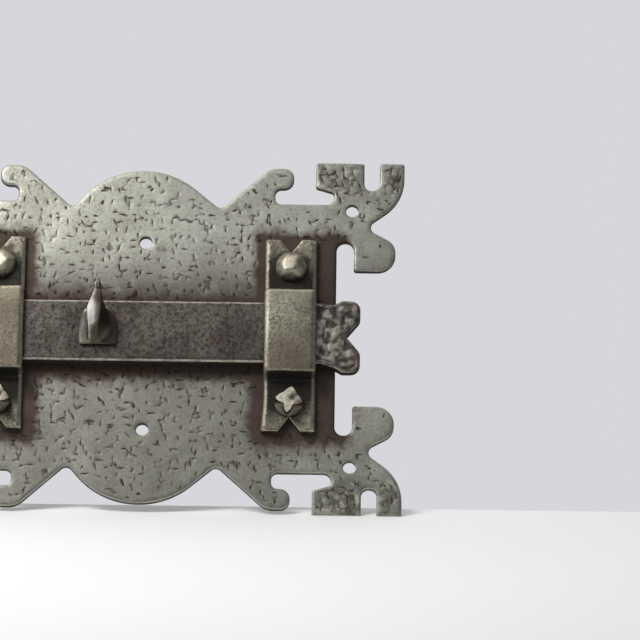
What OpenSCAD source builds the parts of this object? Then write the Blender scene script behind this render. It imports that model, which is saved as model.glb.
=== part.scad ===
// Forged sliding door bolt: decorative backplate, flat bar, thumb knob, two guide straps and four rivets.
// Millimetres. X runs along the bar, Z is up, and the backplate's mounting face is the plane Y = 0.
// The front of the bolt faces -Y.

/* [Backplate] */
// Overall width over the four heads
plate_w = 160.4; // [156:0.2:170]
// Overall height over the four heads
plate_h = 115.2; // [113:0.2:122]
// Width between the two straight side edges
waist_w = 118.6; // [116:0.2:121]
// Thickness of the sheet
plate_t = 2.5; // [1.5:0.1:4]

/* [Lobe] */
// Radius of the round lobe at the middle of the top and bottom edges
lobe_r = 24.8; // [24:0.1:25.2]
// Height of the lobe's crown above the centre
lobe_top = 54.2; // [53.6:0.1:55]
// How far the lobe's middle lies off the plate's middle, along X
lobe_x = -0.9; // [-1.2:0.1:1.2]
// Distance of the valley beside the lobe from the centre
valley_x = 23; // [22.5:0.1:24]
// Height of the valley's corner before rounding
valley_z = 41.7; // [41:0.1:42.5]
// Rounding of the valley
valley_r = 2; // [1:0.1:3]

/* [Curl] */
// Outermost point of the curl beside the lobe
curl_x = 45.8; // [45:0.1:46.4]
// Top of the curl
curl_top = 55.6; // [55:0.1:56.4]
// Underside of the curl's tip
curl_under = 48.9; // [48.6:0.1:49.3]
// Corner where the curl's flank meets its top
curl_back_x = 38.3; // [37.5:0.1:38.8]
// Rounding of the curl's back
curl_back_r = 6; // [3:0.1:6.5]
// Rounding of the curl's tip
curl_tip_r = 3.2; // [2:0.1:3.3]

/* [Pocket] */
// Inner end of the pocket under the curl
pocket_in_x = 40; // [39.5:0.1:40.5]
// Outer end of the pocket, under the head
pocket_out_x = 58.4; // [57.5:0.1:58.8]
// Floor of the pocket
pocket_floor = 43.8; // [43:0.1:44.2]
// Rounding of the pocket's inner end
pocket_in_r = 1.9; // [1:0.1:2.3]
// Rounding of the pocket's outer floor corner
pocket_out_r = 2.4; // [1:0.1:2.6]
// Height of the pocket's outer end
pocket_root_z = 47.7; // [47.6:0.1:48.2]

/* [Head] */
// Inner edge of the head's square snout
snout_x = 52.6; // [52:0.1:53.5]
// Underside of the snout
snout_z = 49.4; // [49:0.1:50]
// Middle of the slot between snout and ear
slot_x = 70.1; // [69.8:0.1:70.6]
// Width of the slot
slot_w = 4.8; // [4:0.1:5.4]
// Bottom of the slot
slot_z = 48.6; // [48:0.1:50]
// Corner height of the head's outer cheek before rounding
cheek_z = 45.4; // [45:0.1:46]
// Rounding of the cheek
cheek_r = 14.5; // [10:0.1:15]
// Corner of the neck between head and jaw before rounding
neck_x = 67.7; // [67.4:0.1:68.4]
// Height of the neck's corner
neck_z = 36.4; // [36:0.1:37]
// Rounding of the neck
neck_r = 2.4; // [1.5:0.1:2.8]

/* [Jaw] */
// Outermost point of the jaw
jaw_x = 77.6; // [77:0.1:78.5]
// Corner height of the jaw's shoulder before rounding
jaw_top = 31.2; // [31:0.1:31.6]
// Bottom of the jaw
jaw_z = 22; // [21.6:0.1:22.4]
// Inner edge of the jaw
jaw_in_x = 64.7; // [64.4:0.1:65.2]
// Rounding of the jaw's shoulder
jaw_top_r = 5; // [3:0.1:5.2]
// Rounding of the jaw's lower corner
jaw_r = 5.6; // [3:0.1:5.8]
// Top of the arch between jaw and side edge
arch_z = 31.5; // [31:0.1:32]
// Rounding of the arch
arch_r = 2.6; // [1.5:0.1:2.6]
// Rounding of the sawn corners
sawn_r = 0.8; // [0.3:0.1:1]

/* [Screw holes] */
// Radius of the six screw holes
screw_r = 2; // [1.5:0.1:2.3]
// Distance between the two centre holes, along Z
centre_hole_pitch = 60.8; // [58:0.1:62]
// Distance between the head holes, along X
head_hole_pitch_x = 128; // [127:0.1:129]
// Distance between the head holes, along Z
head_hole_pitch_z = 83.6; // [83:0.1:84.4]

/* [Slide bar] */
// Width of the flat bar, along Z
bar_h = 19.6; // [18:0.1:20]
// Thickness of the flat bar
bar_t = 4.8; // [4:0.1:6]
// Plain locking end of the bar at rest
bar_end_x = -104; // [-110:0.5:-95]
// Gap between the bar and the backplate
bar_gap = 0.2; // [0.1:0.05:0.5]
// Bevel along the bar's locking end
bar_bevel = 0.8; // [0.3:0.1:1.5]

/* [Fishtail] */
// Where the thinner tail begins
tail_start_x = 55.5; // [54:0.1:57]
// Where the tail starts to widen
tail_flare_x = 58.6; // [58:0.1:59]
// Length over which the tail widens
tail_flare_l = 2.6; // [2.2:0.1:3]
// Half width of the tail's neck, spread a little by forging
tail_neck_h = 10.2; // [9.8:0.1:10.6]
// Outermost point of the tail
tail_x = 66.9; // [66:0.1:68]
// Half width of the tail over its two lobes
tail_half_h = 11.7; // [11.4:0.1:12.2]
// Thickness of the tail
tail_t = 3.4; // [2.5:0.1:4]
// Apex of the tail's notch
tail_notch_x = 62.6; // [61:0.1:63.5]
// Half height of the notch's mouth before rounding
tail_notch_h = 5.2; // [4.5:0.1:5.6]
// Rounding of the tail's lobes
tail_r = 3; // [2:0.1:3]
// How far the tail sags below the bar's middle
tail_drop = 0.6; // [0:0.1:0.8]

/* [Thumb knob] */
// Middle of the knob along the bar
knob_x = -14.1; // [-18:0.1:-10]
// Lower edge of the knob's foot
knob_low = -5; // [-6:0.1:-4]
// Width of the knob's foot
knob_w = 12; // [10:0.1:14]
// Height of the knob's foot, along Z
knob_h = 11.5; // [10:0.1:13]
// Thickness of the knob's foot at its edge
knob_edge = 1.2; // [0.8:0.1:2]
// Reach of the knob's tip beyond the bar's face
knob_reach = 17.5; // [12:0.1:22]
// Height of the knob's tip
knob_tip_z = 10; // [8:0.1:12]
// Width of the fin's ridge at its middle
fin_w = 4.4; // [3:0.1:5]
// Width of the shoulder between the knob's foot and its fin
shoulder_w = 6.2; // [5:0.1:8]
// Height of the fin at its middle, along Z
fin_mid_h = 6; // [4:0.1:8]
// Height of the fin at its tip, along Z
fin_tip_h = 2.5; // [1.5:0.1:4]
// How far the fin's tip leans to the right
fin_lean = 0.8; // [0:0.1:2]
// Radius of the tenon riveted through the bar
tenon_r = 3; // [2:0.1:4]

/* [Straps] */
// Middle of each strap from the centre
strap_x = 45.2; // [44:0.1:46]
// Width of the strap stock
strap_w = 16; // [14:0.1:16.4]
// Thickness of the strap stock
strap_t = 2.5; // [2:0.1:3]
// Gap between the strap and the bar's front face
strap_gap = 0.4; // [0.2:0.1:1]
// Half height of the raised part at its front face
crown_half_h = 13.3; // [13:0.1:14]
// How far each riser leans outwards over its depth
riser_lean = 1.4; // [0.5:0.1:2]
// Distance of each foot's end from the centre
foot_end = 31.2; // [30:0.1:33]
// Width of the notch in a foot's end
notch_w = 6.8; // [5:0.1:8]
// Depth of the notch in a foot's end
notch_d = 4.4; // [3:0.1:4.6]
// Flare of the lower foot's outer corner
foot_flare = 0.7; // [0:0.1:1.2]

/* [Rivets] */
// Distance of each rivet from the centre, along Z
rivet_z = 22.1; // [21.5:0.1:22.5]
// Radius of the rivet's shank
rivet_r = 2.5; // [2:0.1:3]
// Radius of the upper, domed rivet heads
dome_r = 4.9; // [4:0.1:5.2]
// Height of the upper, domed rivet heads
dome_h = 4.2; // [3:0.1:5]
// Radius of the lower, star-shaped rivet heads
star_r = 4.5; // [4:0.1:5]
// Height of the lower, star-shaped rivet heads
star_h = 3.9; // [3:0.1:5]
// Height of the round foot under each star
star_foot_h = 1.2; // [0.6:0.1:2]
// Distance from a star's middle to the bottom of its hollows
star_hollow_r = 2.6; // [2:0.1:2.9]
// Radius of the rivet's countersunk tail
tail_sink_r = 3.8; // [3.5:0.1:4.5]
// Depth of the rivet's countersunk tail
tail_sink_d = 1.3; // [0.8:0.1:1.4]

/* [Hidden] */

$fn = 48;
// How far a chord may cut inside its arc
chord_error = 0.02;
// How far a cutting tool runs past a face
through = 1;
// Width of the flat left between two roundings that share an edge
slot_flat = 0.2;
slot_r = (slot_w - slot_flat) / 2;

plate_front = plate_t;
bar_back = plate_front + bar_gap;
bar_front = bar_back + bar_t;
strap_inside = bar_front + strap_gap;
strap_front = strap_inside + strap_t;
foot_front = plate_front + strap_t;

// Corners of one quadrant of the backplate, from the valley beside the lobe to the side edge:
// [x, z, rounding].
quadrant_corners = [
    [valley_x, valley_z, valley_r],
    [curl_back_x, curl_top, curl_back_r],
    [curl_x, curl_top, curl_tip_r],
    [curl_x, curl_under, curl_tip_r],
    [pocket_in_x, curl_under, pocket_in_r],
    [pocket_in_x, pocket_floor, pocket_in_r],
    [pocket_out_x, pocket_floor, pocket_out_r],
    [pocket_out_x, pocket_root_z, pocket_out_r / 2],
    [snout_x, snout_z, sawn_r],
    [snout_x, plate_h / 2, sawn_r],
    [slot_x - slot_w / 2, plate_h / 2, sawn_r],
    [slot_x - slot_w / 2, slot_z, slot_r],
    [slot_x + slot_w / 2, slot_z, slot_r],
    [slot_x + slot_w / 2, plate_h / 2, sawn_r],
    [plate_w / 2, plate_h / 2, sawn_r],
    [plate_w / 2, cheek_z, cheek_r],
    [neck_x, neck_z, neck_r],
    [jaw_x, jaw_top, jaw_top_r],
    [jaw_x, jaw_z, jaw_r],
    [jaw_in_x, jaw_z, sawn_r],
    [jaw_in_x, arch_z, arch_r],
    [waist_w / 2, arch_z, arch_r],
    [waist_w / 2, 0, 0]
];

// Rounding at either end of the fishtail's flare
flare_r = 1;
// Upper half of the fishtail, from the bar's edge to the notch: [x, z, rounding].
tail_corners = [
    [tail_start_x, tail_neck_h, 0],
    [tail_flare_x, tail_neck_h, flare_r],
    [tail_flare_x + tail_flare_l, tail_half_h, flare_r],
    [tail_x, tail_half_h, tail_r],
    [tail_x, tail_notch_h, tail_r],
    [tail_notch_x, 0, 0]
];

// Thickness of one slice of the knob's hull
knob_slice = 0.4;
// How far the knob's foot draws in with each slice
knob_step = 0.5;
// Height of the knob's shoulder above the edge of its foot
shoulder_h = 3;
// Where the fin is thickest, as a share of its reach
fin_middle = 0.55;

// How far a star's points stay inside the edge of its round foot
star_lip = 0.3;
// Directions of a star's points
star_angles = [80:90:350];
// A star's outline in X and Z: each point and the hollow after it
star_corners = [
    for (a = star_angles, p = [[a, star_r - star_lip], [a + 45, star_hollow_r]])
        p[1] * [cos(p[0]), sin(p[0])]
];
// Angles up a domed head's side view
dome_angles = [15:15:75];

function unit(v) = v / norm(v);
function flat(p) = [p[0], p[1]];
function backwards(list) = [for (i = [len(list) - 1:-1:0]) list[i]];
function flipped(list, sx, sz) = [for (p = list) [sx * p[0], sz * p[1]]];
function on_arc(centre, radius, angle) = centre + radius * [cos(angle), sin(angle)];
function shortest_turn(angle) = angle > 180 ? angle - 360 : angle < -180 ? angle + 360 : angle;
function angle_of(v) = atan2(v[1], v[0]);

// Points along an arc, both ends included.
function arc_points(centre, radius, from, to) =
    let (
        step = 2 * acos(1 - chord_error / radius),
        steps = max(2, ceil(abs(to - from) / step))
    )
    [for (i = [0:steps]) on_arc(centre, radius, from + (to - from) * i / steps)];

// The arc that rounds one corner between its two neighbours.
function corner_arc(before, corner, after, radius) =
    let (
        back = unit(before - corner),
        on = unit(after - corner),
        half = acos(back * on) / 2,
        centre = corner + unit(back + on) * radius / sin(half),
        from = angle_of(corner + back * radius / tan(half) - centre),
        to = angle_of(corner + on * radius / tan(half) - centre)
    )
    arc_points(centre, radius, from, from + shortest_turn(to - from));

// An open path of [x, z, rounding] corners without its first point.
function rounded(path) = [
    for (i = [1:len(path) - 1])
        let (corner = flat(path[i]))
        each (i == len(path) - 1 || path[i][2] == 0
            ? [corner]
            : corner_arc(flat(path[i - 1]), corner, flat(path[i + 1]), path[i][2]))
];

// One quadrant of the backplate's outline, from the lobe's crown to the side edge. The left half
// (side = -1) is drawn as its mirror image.
function quadrant(side) =
    let (
        centre = [side * lobe_x, lobe_top - lobe_r],
        to_valley = flat(quadrant_corners[0]) - centre,
        end_angle = angle_of(to_valley) + acos(lobe_r / norm(to_valley)),
        flank = on_arc(centre, lobe_r, end_angle)
    )
    concat(
        arc_points(centre, lobe_r, 90, end_angle),
        rounded(concat([[flank[0], flank[1], 0]], quadrant_corners))
    );

// Outlines are joined without doubled points.
function without_last(list) = [for (i = [0:len(list) - 2]) list[i]];
function without_first(list) = [for (i = [1:len(list) - 1]) list[i]];

// Stock lying flat: an outline in X and Z, from one depth in front of the mounting face to another.
module stock(from, to) {
    translate([0, -from, 0])
        rotate([90, 0, 0])
            linear_extrude(to - from)
                children();
}

// A round bar or hole that stands on the mounting face's normal.
module round_stock(radius, from, to) {
    stock(from, to)
        circle(radius);
}

module screw_hole(x, z) {
    translate([x, 0, z])
        round_stock(screw_r, -through, plate_t + through);
}

// The shank and countersunk tail of a strap rivet, at its own place.
module rivet_shank() {
    round_stock(rivet_r, 0, foot_front);
    rotate([90, 0, 0])
        cylinder(tail_sink_d, tail_sink_r, rivet_r);
}

module backplate() {
    right = quadrant(1);
    left = quadrant(-1);
    color("gray")
        difference() {
            stock(0, plate_t)
                polygon(concat(
                    without_last(right),
                    without_last(backwards(flipped(right, 1, -1))),
                    without_last(flipped(left, -1, -1)),
                    without_last(backwards(flipped(left, -1, 1)))
                ));
            for (side = [-1, 1]) {
                screw_hole(0, side * centre_hole_pitch / 2);
                for (end = [-1, 1]) {
                    screw_hole(end * head_hole_pitch_x / 2, side * head_hole_pitch_z / 2);
                    translate([end * strap_x, 0, side * rivet_z])
                        rivet_shank();
                }
            }
        }
}

module slide_bar() {
    half_h = bar_h / 2;
    upper_tail = rounded(tail_corners);
    lower_tail = without_first(backwards(flipped(upper_tail, 1, -1)));
    color("dimgray")
        difference() {
            union() {
                stock(bar_back, bar_front)
                    polygon([
                        [bar_end_x + bar_bevel, -half_h],
                        [tail_start_x, -half_h],
                        [tail_start_x, half_h],
                        [bar_end_x + bar_bevel, half_h],
                        [bar_end_x, half_h - bar_bevel],
                        [bar_end_x, -half_h + bar_bevel]
                    ]);
                stock(bar_back, bar_back + tail_t)
                    translate([0, -tail_drop])
                        polygon(concat(
                            [[tail_start_x - through, half_h]],
                            [[tail_start_x, tail_neck_h]],
                            upper_tail,
                            lower_tail,
                            [[tail_start_x - through, tail_drop - half_h]]
                        ));
            }
            translate([knob_x, 0, 0])
                round_stock(tenon_r, bar_back - through, bar_front + through);
        }
}

// A thin rectangular slice of the knob at one height above the bar.
module knob_slice_at(width, low, high, height) {
    stock(bar_front + height, bar_front + height + knob_slice)
        translate([-width / 2, low])
            square([width, high - low]);
}

module thumb_knob() {
    high = knob_low + knob_h;
    mid_z = knob_low + (knob_tip_z - knob_low) * fin_middle;
    color("darkgray")
        translate([knob_x, 0, 0]) {
            hull() {
                knob_slice_at(knob_w, knob_low, high, 0);
                knob_slice_at(knob_w, knob_low + knob_step, high - knob_step, knob_edge - knob_slice);
                knob_slice_at(
                    shoulder_w, knob_low + 2 * knob_step, high - 2 * knob_step,
                    knob_edge + shoulder_h
                );
            }
            hull() {
                knob_slice_at(shoulder_w, knob_low + knob_step, high, knob_edge);
                knob_slice_at(fin_w, mid_z, mid_z + fin_mid_h, knob_reach * fin_middle);
                translate([fin_lean, 0, 0])
                    knob_slice_at(
                        fin_w / 2, knob_tip_z - fin_tip_h, knob_tip_z, knob_reach - knob_slice
                    );
            }
            round_stock(tenon_r, bar_back, bar_front + knob_edge / 2);
        }
}

// A strap bent as a hat section over the bar. Its side view is drawn in Z and depth, then extruded along X.
module strap(end) {
    inner_half = crown_half_h - strap_t;
    base_half = crown_half_h + riser_lean;
    side_view = [
        [foot_end, plate_front],
        [foot_end, foot_front],
        [base_half, foot_front],
        [crown_half_h, strap_front],
        [-crown_half_h, strap_front],
        [-base_half, foot_front],
        [-foot_end, foot_front],
        [-foot_end, plate_front],
        [-base_half + strap_t, plate_front],
        [-inner_half, strap_inside],
        [inner_half, strap_inside],
        [base_half - strap_t, plate_front]
    ];
    color("gray")
        translate([end * strap_x, 0, 0])
            difference() {
                union() {
                    rotate([90, 0, -90])
                        translate([0, 0, -strap_w / 2])
                            linear_extrude(strap_w)
                                polygon([for (p = side_view) [p[1], p[0]]]);
                    stock(plate_front, foot_front)
                        polygon([
                            [-strap_w / 2, -foot_end],
                            [-strap_w / 2 - foot_flare, -foot_end],
                            [-strap_w / 2, -rivet_z]
                        ]);
                }
                for (side = [-1, 1]) {
                    stock(plate_front - through, foot_front + through)
                        polygon([
                            [-notch_w / 2, side * foot_end],
                            [-notch_w / 2, side * (foot_end + through)],
                            [notch_w / 2, side * (foot_end + through)],
                            [notch_w / 2, side * foot_end],
                            [0, side * (foot_end - notch_d)]
                        ]);
                    translate([0, 0, side * rivet_z])
                        round_stock(rivet_r, plate_front - through, foot_front + through);
                }
            }
}

module left_strap() { strap(-1); }
module right_strap() { strap(1); }

// A domed head, forged low and round.
module domed_head() {
    rotate([90, 0, 0])
        rotate_extrude()
            polygon(concat(
                [[0, foot_front], [dome_r, foot_front]],
                [for (a = dome_angles) [dome_r * cos(a), foot_front + dome_h * sin(a)]],
                [[0, foot_front + dome_h]]
            ));
}

// A round head struck from four sides, which leaves a flat star on a round foot.
module starred_head() {
    stock(foot_front, foot_front + star_foot_h)
        circle(star_r);
    stock(foot_front, foot_front + star_h)
        polygon(star_corners);
}

// One strap rivet at its corner: end is -1 on the left, side is -1 below.
module rivet(end, side) {
    color("silver")
        translate([end * strap_x, 0, side * rivet_z]) {
            rivet_shank();
            if (side > 0)
                domed_head();
            else
                starred_head();
        }
}

module rivet_upper_left() { rivet(-1, 1); }
module rivet_lower_left() { rivet(-1, -1); }
module rivet_upper_right() { rivet(1, 1); }
module rivet_lower_right() { rivet(1, -1); }

backplate();
slide_bar();
thumb_knob();
left_strap();
right_strap();
rivet_upper_left();
rivet_lower_left();
rivet_upper_right();
rivet_lower_right();
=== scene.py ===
"""The looks of a forged sliding door bolt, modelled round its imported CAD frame.

Shapes are worked out in millimetres and turned into metres when a mesh is made. X runs along the
bar and Z is up. Depth is measured from the mounting face towards the viewer, so it is -Y.
"""
import random
from math import acos, ceil, copysign, cos, dist, exp, log, pi, radians, sin, tan

import bpy
import numpy as np
from mathutils import Matrix, Vector, noise
from mathutils.geometry import delaunay_2d_cdt
from mathutils.kdtree import KDTree


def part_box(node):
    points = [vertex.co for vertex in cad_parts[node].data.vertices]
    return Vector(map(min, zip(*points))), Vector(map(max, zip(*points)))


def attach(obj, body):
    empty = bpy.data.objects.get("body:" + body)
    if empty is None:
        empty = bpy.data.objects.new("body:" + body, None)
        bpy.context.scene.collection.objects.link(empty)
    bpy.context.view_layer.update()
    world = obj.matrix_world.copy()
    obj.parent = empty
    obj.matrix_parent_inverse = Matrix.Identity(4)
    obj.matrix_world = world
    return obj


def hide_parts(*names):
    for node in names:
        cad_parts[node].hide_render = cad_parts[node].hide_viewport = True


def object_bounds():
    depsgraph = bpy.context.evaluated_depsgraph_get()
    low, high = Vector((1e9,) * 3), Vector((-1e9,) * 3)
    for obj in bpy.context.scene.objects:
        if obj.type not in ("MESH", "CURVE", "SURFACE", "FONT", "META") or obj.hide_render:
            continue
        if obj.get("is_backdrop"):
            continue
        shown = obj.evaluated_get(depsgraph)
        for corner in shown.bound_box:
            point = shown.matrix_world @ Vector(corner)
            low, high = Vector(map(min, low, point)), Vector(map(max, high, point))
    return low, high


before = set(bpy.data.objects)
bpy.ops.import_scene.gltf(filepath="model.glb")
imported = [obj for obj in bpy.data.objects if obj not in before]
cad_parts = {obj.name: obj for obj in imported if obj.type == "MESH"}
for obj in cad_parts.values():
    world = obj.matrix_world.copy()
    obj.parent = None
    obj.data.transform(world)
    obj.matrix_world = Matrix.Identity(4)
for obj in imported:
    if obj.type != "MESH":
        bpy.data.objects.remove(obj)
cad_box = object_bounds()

MM = 0.001


# ------------ places read from the frame

def box_mm(node):
    """Lowest and highest corner of a CAD node, in millimetres."""
    return [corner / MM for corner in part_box(node)]


def outline_loops(node, depth):
    """Outlines of a CAD node's flat faces at one depth, largest first, as arrays of X and Z.
    The metal is on the left of each outline."""
    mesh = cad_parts[node].data
    tolerance = 0.02
    steps = set()
    for polygon in mesh.polygons:
        corners = [mesh.vertices[i].co / MM for i in polygon.vertices]
        if all(abs(c.y + depth) < tolerance for c in corners):
            ring = [(round(c.x, 2), round(c.z, 2)) for c in corners]
            steps.update((a, b) for a, b in zip(ring, ring[1:] + ring[:1]) if a != b)
    border = {a: b for a, b in sorted(steps) if (b, a) not in steps}
    loops = []
    while border:
        start = min(border)
        loop, here = [start], border.pop(start)
        while here != start:
            loop.append(here)
            here = border.pop(here)
        loops.append(np.array(loop))
    loops.sort(key=lambda loop: -abs(area(loop)))
    return loops if area(loops[0]) > 0 else [loop[::-1] for loop in loops]


PLATE_LOW, PLATE_HIGH = box_mm("backplate")
BAR_LOW, BAR_HIGH = box_mm("slide_bar")
KNOB_LOW, KNOB_HIGH = box_mm("thumb_knob")
PLATE_T = -PLATE_LOW.y
BAR_FRONT, BAR_BACK = -BAR_LOW.y, -BAR_HIGH.y
STRAP_FRONT = -box_mm("right_strap")[0].y
STRAP_T = 2.5
FOOT_FRONT = PLATE_T + STRAP_T


# ------------ plane geometry

def unit(vectors):
    return vectors / np.linalg.norm(vectors, axis=-1, keepdims=True)


def area(loop):
    x, z = loop[:, 0], loop[:, 1]
    return 0.5 * float(np.sum(x * np.roll(z, -1) - np.roll(x, -1) * z))


def smooth_step(low, high, value):
    t = np.clip((value - low) / (high - low), 0, 1)
    return t * t * (3 - 2 * t)


def waves(points, size, seed):
    """Smooth noise from -1 to 1 at plane points, with features about size across."""
    return np.array([noise.noise(Vector((p[0] / size, p[1] / size, seed))) for p in points])


def resampled(loop, spacing):
    """The same outline with points no further apart than spacing."""
    points = []
    for a, b in zip(loop, np.roll(loop, -1, axis=0)):
        steps = max(1, ceil(np.linalg.norm(b - a) / spacing))
        points += [a + (b - a) * i / steps for i in range(steps)]
    return np.array(points)


def inset(loop, distance):
    """The outline moved into the metal, by one distance or by one for each point."""
    before = loop - np.roll(loop, 1, axis=0)
    after = np.roll(loop, -1, axis=0) - loop
    left = [unit(np.column_stack([-v[:, 1], v[:, 0]])) for v in (before, after)]
    middle = unit(left[0] + left[1])
    cosine = np.clip((middle * left[0]).sum(axis=1), 0.6, 1)
    return loop + middle * (distance / cosine)[:, None]


def is_inside(points, loops):
    """Whether each point is inside the outlines, counted by the edges to its right."""
    order = np.argsort(points[:, 1])
    heights = points[order, 1]
    crossings = np.zeros(len(points), int)
    for loop in loops:
        for a, b in zip(loop, np.roll(loop, -1, axis=0)):
            low, high = (a, b) if a[1] < b[1] else (b, a)
            first, last = np.searchsorted(heights, (low[1], high[1]))
            if last > first:
                near = order[first:last]
                t = (points[near, 1] - low[1]) / (high[1] - low[1])
                crossings[near] += points[near, 0] < low[0] + t * (high[0] - low[0])
    return crossings % 2 == 1


def clearance(points, loops):
    """How far each point is inside the outlines; below zero outside them."""
    fine = np.vstack([resampled(loop, 0.25) for loop in loops])
    tree = KDTree(len(fine))
    for i, (x, z) in enumerate(fine):
        tree.insert((x, z, 0), i)
    tree.balance()
    gaps = np.array([tree.find((x, z, 0))[2] for x, z in points])
    return np.where(is_inside(points, loops), gaps, -gaps)


def staggered_points(loops, spacing, seed):
    """Evenly scattered points over the outlines' rectangle, in shifted rows with some jitter."""
    low, high = np.vstack(loops).min(axis=0), np.vstack(loops).max(axis=0)
    rng = np.random.default_rng(seed)
    rows = np.arange(low[1], high[1], spacing * 0.87)
    points = [
        (x, z)
        for i, z in enumerate(rows)
        for x in np.arange(low[0] + (i % 2) * spacing / 2, high[0], spacing)
    ]
    return np.array(points) + rng.uniform(-0.2, 0.2, (len(points), 2)) * spacing


def filled(loops, extra, edges):
    """Triangles that fill the outlines through extra points and along extra edges.
    Returns the plane points, the triangles and the new number of each given point."""
    given = np.vstack([*loops, extra])
    border, start = [], 0
    for loop in loops:
        count = len(loop)
        border += [(start + i, start + (i + 1) % count) for i in range(count)]
        start += count
    inner = [(start + i, start + j) for i, j in edges]
    result = delaunay_2d_cdt([Vector(p) for p in given], border + inner, [], 0, 1e-4)
    points = np.array([tuple(p) for p in result[0]])
    triangles = np.array([face for face in result[2] if len(face) == 3])
    number = np.zeros(len(given), int)
    for new, old in enumerate(result[3]):
        number[old] = new
    inside = is_inside(points[triangles].mean(axis=1), loops)
    return points, triangles[inside], number


# ------------ chisel marks

class Marks:
    """Grooves cut into a face. Each is a centre line with a half width at each of its points and
    a slope, its depth over its half width. REACH is how far from a point marks are looked for."""

    REACH = 2.4

    def __init__(self):
        self.marks = []
        self.segments = []

    def add(self, line, half, slope):
        self.marks.append((np.array(line), np.array(half), slope))

    def keep_inside(self, loops, margin):
        """Drops the marks that come too close to the outlines."""
        if self.marks:
            lines = [line for line, _, _ in self.marks]
            gaps = clearance(np.vstack(lines), loops)
            ends = np.cumsum([len(line) for line in lines])
            worst = [gap.min() for gap in np.split(gaps, ends[:-1])]
            self.marks = [
                mark for mark, gap in zip(self.marks, worst) if gap > margin + mark[1].max()
            ]
        for line, half, slope in self.marks:
            for i in range(len(line) - 1):
                self.segments.append((line[i], line[i + 1], half[i], half[i + 1], slope))
        self.tree = KDTree(max(1, len(self.segments)))
        for i, (a, b, *_) in enumerate(self.segments):
            self.tree.insert((*((a + b) / 2), 0), i)
        self.tree.balance()

    def outlines(self):
        """Points and edges of every mark: its two sides and its centre line."""
        points, edges = [], []
        for line, half, _ in self.marks:
            first, count = len(points), len(line)
            along = unit(np.gradient(line, axis=0))
            side = np.column_stack([-along[:, 1], along[:, 0]]) * half[:, None]
            left, right = (line + side)[1:-1], (line - side)[1:-1]
            points += [*line, *left, *right]
            middle = [first + i for i in range(count)]
            sides = [[first + count + s * (count - 2) + i for i in range(count - 2)] for s in (0, 1)]
            for path in (middle, *([middle[0], *s, middle[-1]] for s in sides)):
                edges += list(zip(path, path[1:]))
        return np.array(points).reshape(-1, 2), edges

    def at(self, point):
        """The gap from a point to the nearest mark, and the groove's depth there."""
        gap, groove = self.REACH, 0.0
        for _, i, _ in self.tree.find_range((*point, 0), self.REACH):
            a, b, half_a, half_b, slope = self.segments[i]
            along = b - a
            t = min(1.0, max(0.0, float((point - a) @ along) / float(along @ along)))
            off = dist(point, a + along * t)
            half = half_a + (half_b - half_a) * t
            gap = min(gap, off - half)
            if off < half:
                groove = max(groove, slope * (half - off))
        return gap, groove


def cut(marks, rng, centre, angle, length, width, bend=0.0, slope=0.2):
    """One chisel cut: widest near one end, drawn out to a point at the other."""
    steps = 4 if length < 2.2 else 5
    line, half = [], []
    point = np.array(centre) - 0.5 * length * np.array([cos(angle), sin(angle)])
    fat_end = rng.uniform(0.2, 0.45)
    for i in range(steps + 1):
        t = i / steps
        line.append(point)
        swell = (t / fat_end) if t < fat_end else (1 - t) / (1 - fat_end)
        half.append(0.5 * width * max(0.02, swell) ** 0.7)
        heading = angle + bend * (t - 0.5)
        point = point + length / steps * np.array([cos(heading), sin(heading)])
    marks.add(line, half, slope * rng.uniform(0.8, 1.2))


def random_cut(marks, rng, centre):
    """A cut or a small group of cuts in the smith's habit: mostly upright or level strokes."""
    upright = pi / 2 if rng.random() < 0.62 else 0.0
    angle = upright + rng.gauss(0, 0.28) + (pi if rng.random() < 0.5 else 0)
    length, width = rng.uniform(1.0, 2.6), rng.uniform(0.42, 0.74)
    kind = rng.random()
    across = np.array([-sin(angle), cos(angle)])
    ahead = np.array([cos(angle), sin(angle)])
    if kind < 0.24:
        cut(marks, rng, centre, angle, rng.uniform(0.8, 1.4), rng.uniform(0.55, 0.9))
    elif kind < 0.32:
        cut(marks, rng, centre - across * 0.7, angle, length * 0.8, width * 0.8)
        cut(marks, rng, centre + across * 0.7, angle + 0.15, length * 0.6, width * 0.7)
    elif kind < 0.40:
        cut(marks, rng, centre, angle, length * 0.8, width * 0.85)
        turned = angle + copysign(pi / 2, rng.uniform(-1, 1))
        cut(marks, rng, centre + ahead * length * 0.6, turned, length * 0.6, width * 0.7)
    elif kind < 0.43:
        cut(marks, rng, centre, angle, length * 1.3, width * 0.6, rng.choice([-2.0, 2.0]))
    else:
        cut(marks, rng, centre, angle, length, width, rng.gauss(0, 0.35))


# ------------ meshes

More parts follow.
